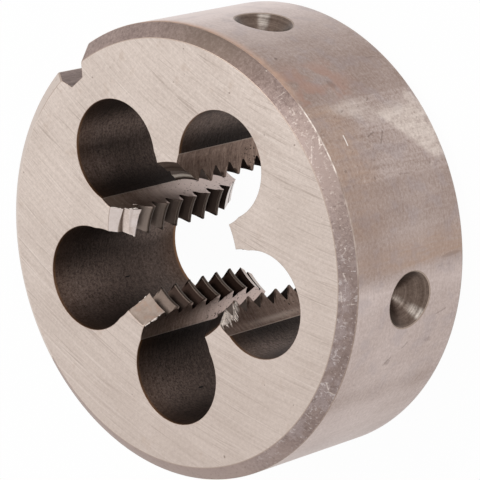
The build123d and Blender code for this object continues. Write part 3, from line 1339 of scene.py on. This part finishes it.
def plain_steel(name, colour, roughness, metallic=1.0):
    """Steel of one colour, darker by a seventh where its fine grain is lowest."""
    f = Finish(name)
    grain = f.noise(*f.fine(5.0), 3.0)
    f.base(f.ramp(grain, 0.3, 0.7, 0.85, 1.0), (0, 0, 0), colour)
    return f.done(roughness, metallic)


def broken_edge():
    """The face's broken edges: lost in the face's tone where both catch the same light."""
    f = Finish("broken_edge")
    far_side = f.around(146.0, 40.0, 34.0) * f.ramp(f.distance, 19.0, 20.0)
    f.base(far_side, (176, 158, 146), (214, 200, 190))
    return f.done(0.5)


def banded_facet(f, reflection_band):
    """The far land's lead: one bright band painted as a reflection, between darker ones."""
    banded = f.mix(reflection_band, (158, 138, 126), (250, 236, 222))
    banded = f.mix(f.ramp(f.z, 15.6, 15.3), banded, (110, 92, 82))
    return f.mix(f.bell(f.z, 17.1, 0.25) * 0.6, banded, (70, 52, 42))


def lead_facet():
    """The lead's ground facets: bright, browner on the lower land, banded on the far one, painted shade on
    the worn one.
    """
    f = Finish("ground_lead_facet")
    grain = f.grain(2.6)
    cloud = f.waver(*f.fine(0.9), 2.0)
    shade = 0.5 + grain * 0.42 + cloud * 0.30
    f.base(shade, (192, 178, 170), (226, 214, 210))
    upper = f.around(upper_land, 22.0, 20.0)
    above_groove, in_root = first_root(f, 0.34)
    f.tint(in_root * upper, (136, 121, 112))
    fold = f.bell(above_groove, -0.60, 0.16)
    f.tint(fold * upper * 0.35, (158, 140, 130))
    # Blotchy and browner below the first groove
    blotches_below_groove = f.ramp(f.noise(*f.fine(1.6), 3.0, 0.7), 0.50, 0.64) * f.ramp(above_groove, -0.3, -0.5)
    f.tint(blotches_below_groove * upper * 0.30, (166, 144, 128))
    brown = f.mix(shade, (140, 122, 110), (190, 173, 162))
    reddish = f.ramp(f.noise(*f.fine(1.1), 2.0), 0.48, 0.62)
    brown = f.mix(reddish * 0.4, brown, (172, 140, 122))
    f.tint(f.around(lower_land, 20.0, 18.0), brown)
    far = f.around(far_land, 22.0, 19.0)
    # A bright band painted as a reflection, made less metallic so it stays bright
    reflection_band = f.bell(f.z, 15.8, 0.45) * far
    f.tint(far, banded_facet(f, reflection_band))
    from_edge = f.ramp(f.from_face + f.waver(*f.fine(1.6), 2.0) * 0.2, 0.10, 0.55)
    shadowed = f.around(worn_land, 19.0, 15.0)
    f.tint(shadowed * 0.88, f.mix(from_edge, (176, 132, 100), (30, 17, 10)))
    return f.done(0.32, metallic=1.0 - reflection_band * 0.6, height=grain, bump=0.004)


# Each seen seat's glint: its bearing about the seat's axis from the side of rising azimuth,
# the distance of its brightest place from the axis, and how far it reaches from there
plain_glint = (225.0, 2.4, 2.0)
seat_glints = {40.8: (-49.0, 2.45, 1.4), 315.0: (-133.5, 2.6, 1.3)}


def seat_glint(f, azimuth):
    """Distance from one seat's axis, large in the other seats, and the glint in its cone."""
    angle = math.radians(azimuth)
    sideways = f.y * math.cos(angle) - f.x * math.sin(angle)
    rise = f.z - seat_height
    here = f.ramp(f.x * math.cos(angle) + f.y * math.sin(angle), 18.0, 19.0)
    distance = f.hypotenuse(sideways, rise) + (1 - here) * 99.0
    bearing, place, reach = seat_glints.get(azimuth, plain_glint)
    bearing = math.radians(bearing)
    along = sideways * math.cos(bearing) + rise * math.sin(bearing)
    aside = rise * math.cos(bearing) - sideways * math.sin(bearing)
    streak = f.bell(along, place, reach) + f.bell(along, 0.9, 0.8) * 0.50
    return distance, f.ramp(abs(aside) - along * 0.16, 0.40, -0.16) * streak * here


def cone_seat():
    """Drilled cone seats: dark, with the drill's rings and a glint."""
    f = Finish("drilled_cone_seat")
    distances, glints = zip(*(seat_glint(f, azimuth) for azimuth in seat_azimuths))
    distance = f.smallest(*distances)
    rings = f.waver(distance * 4.2, 0.0, 0.0, 3.0, 0.8)
    wide_rings = f.waver(distance * 1.6, 3.0, 0.0, 1.0)
    grain = f.grain(2.4)
    shade = 0.42 + rings * 0.58 + wide_rings * 0.1 + grain * 0.36
    f.base(shade, (66, 52, 44), (134, 117, 107))
    glint = f.largest(*glints) * f.ramp(rings + grain * 0.3, -0.30, 0.30, 0.25, 1.0)
    f.tint(glint * 0.56, (232, 222, 212))
    return f.done(0.34, height=rings + grain * 0.2, bump=0.006)


def slot_wall():
    """The slot's sides, ground fine along the die's axis."""
    f = Finish("ground_slot_wall")
    lines = f.waver(f.x * 2.8, f.y * 2.8, f.z * 0.3, 3.0, 0.85)
    tone = 0.44 + f.ramp(f.y, slot_floor, 22.0) * 0.25 - f.ramp(f.z, 15.0, 18.0) * 0.1
    f.base(tone + lines * 0.85 + f.grain(2.6) * 0.55, (98, 82, 77), (148, 131, 125))
    return f.done(0.5, height=lines, bump=0.006)


def worn_rim_line_with_highlight():
    """The corner between chamfer and rim: a painted highlight, broken in short lengths where the edge is
    worn.
    """
    f = Finish("worn_rim_line_with_highlight")
    grain = f.waver(f.along_rim * 3.0, f.z * 3.0, 0.0, 2.0)
    f.base(0.5 + grain * 0.6, (136, 118, 108), (178, 160, 150))
    broken = f.ramp(f.noise(f.along_rim * 0.8, 0.0, 2.0, 4.0, 0.7), 0.44, 0.58, 0.15, 1.0)
    broken = 0.3 + broken * 0.4
    f.tint(f.ramp(f.azimuth, 7.0, 14.0) * broken, (190, 156, 136))
    f.tint(f.around(-26.0, 12.0, 8.0) * broken, (196, 180, 170))
    # Painted highlight about azimuth -1, and short dashes of it along the worn edge
    f.tint(f.around(-1.0, 11.0, 9.0) * 0.35, (214, 200, 191))

    def highlight_dash(middle, half_length, strength):
        return f.around(middle, half_length + 0.7, half_length - 0.3) * strength

    highlight_dashes = f.largest(
        highlight_dash(7.4, 0.5, strength=0.4),
        highlight_dash(4.7, 1.4, strength=1.0),
        highlight_dash(1.7, 0.9, strength=0.8),
        highlight_dash(-1.2, 0.5, strength=0.4),
        highlight_dash(-3.4, 1.0, strength=0.5),
        highlight_dash(-5.9, 0.8, strength=0.9),
        highlight_dash(-9.2, 0.8, strength=0.9),
    )
    f.tint(highlight_dashes * (0.74 + grain * 0.5), (238, 227, 218))
    return f.done(0.5)


finishes = {
    "ground_face": ground_face(),
    "chamfer": turned_chamfer(),
    "rim": ground_rim(),
    "hole_wall": hole_wall(),
    "rake": rake_flank(),
    "thread": thread_flank(),
    "crest": plain_steel("thread_crest", (100, 88, 80), 0.45),
    "lead": lead_facet(),
    "seat": cone_seat(),
    "slot": slot_wall(),
    "edge": broken_edge(),
    "tooth_edge": plain_steel("tooth_edge", (104, 91, 83), 0.5),
    "seat_lip": plain_steel("seat_lip", (168, 150, 138), 0.42),
    "rim_line": worn_rim_line_with_highlight(),
    "burr": plain_steel("torn_burr", (255, 242, 232), 0.6, metallic=0.0),
}
for zone in ZONES:
    die.data.materials.append(finishes[zone])

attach(die, "root")
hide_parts("die_body")


# The floor's half width in metres, and how far its own shade gives way to plain white where
# it is background
floor_reach = 2.0
floor_glow = 0.97

# The world's strength as light. As background its strength is 1, which is white
soft_light = 0.6


def add_floor():
    """A pale floor that keeps the die's shadow faintly."""
    mesh = bpy.data.meshes.new("floor")
    corners = [(x * floor_reach, y * floor_reach, 0) for x, y in ((-1, -1), (1, -1), (1, 1), (-1, 1))]
    mesh.from_pydata(corners, [], [(0, 1, 2, 3)])
    floor = bpy.data.objects.new("floor", mesh)
    bpy.context.scene.collection.objects.link(floor)
    material = bpy.data.materials.new("pale_floor")
    material.use_nodes = True
    tree = Tree(material.node_tree)
    matte = tree.node("ShaderNodeBsdfDiffuse", {}, {"Color": (0.9, 0.9, 0.9)})
    white = tree.node("ShaderNodeEmission", {}, {"Color": (1.0, 1.0, 1.0), "Strength": 1.0})
    share = tree.background_rays() * floor_glow
    inputs = {0: share, 1: matte.outputs[0], 2: white.outputs[0]}
    mixed = tree.node("ShaderNodeMixShader", {}, inputs)
    tree.node("ShaderNodeOutputMaterial", {}, {"Surface": mixed.outputs[0]})
    mesh.materials.append(material)


def light_world():
    """White to the camera and to gloss, and a softer level as light."""
    world = bpy.data.worlds.new("studio")
    bpy.context.scene.world = world
    world.use_nodes = True
    tree = Tree(world.node_tree)
    strength = soft_light + tree.background_rays() * (1 - soft_light)
    inputs = {"Color": (1.0, 1.0, 1.0), "Strength": strength}
    background = tree.node("ShaderNodeBackground", {}, inputs)
    tree.node("ShaderNodeOutputWorld", {}, {"Surface": background.outputs[0]})


def add_lamp(name, azimuth, elevation, distance, size, watts):
    """A soft square lamp that faces the die, placed by its direction from the die."""
    data = bpy.data.lights.new(name, "AREA")
    data.shape = "SQUARE"
    data.size = size
    data.energy = watts
    lamp = bpy.data.objects.new(name, data)
    bpy.context.scene.collection.objects.link(lamp)
    across, up = math.radians(azimuth), math.radians(elevation)
    direction = Vector((math.cos(up) * math.cos(across), math.cos(up) * math.sin(across), math.sin(up)))
    lamp.location = direction * distance
    lamp.rotation_mode = "QUATERNION"
    lamp.rotation_quaternion = direction.to_track_quat("Z", "Y")


def add_camera():
    """The photograph's view, from above and to the right, with the frame turned."""
    data = bpy.data.cameras.new("camera")
    data.sensor_width = 36.0
    data.lens = 237.07
    data.clip_start = 0.01
    data.clip_end = 10.0
    camera = bpy.data.objects.new("camera", data)
    bpy.context.scene.collection.objects.link(camera)
    place = Vector((203.139, -69.635, 233.997)) * MM
    target = Vector((0.708, -0.602, 9.0)) * MM
    roll = math.radians(-104.867)
    back = (place - target).normalized()
    camera.location = place
    camera.rotation_mode = "QUATERNION"
    camera.rotation_quaternion = Quaternion(back, roll) @ back.to_track_quat("Z", "Y")
    bpy.context.scene.camera = camera


add_floor()
light_world()
add_lamp("key_softbox", azimuth=70.0, elevation=55.0, distance=0.7, size=0.35, watts=2.0)
add_lamp("low_softbox", azimuth=8.0, elevation=13.0, distance=0.6, size=0.18, watts=0.3)
add_camera()
bpy.context.scene.view_settings.view_transform = "Standard"
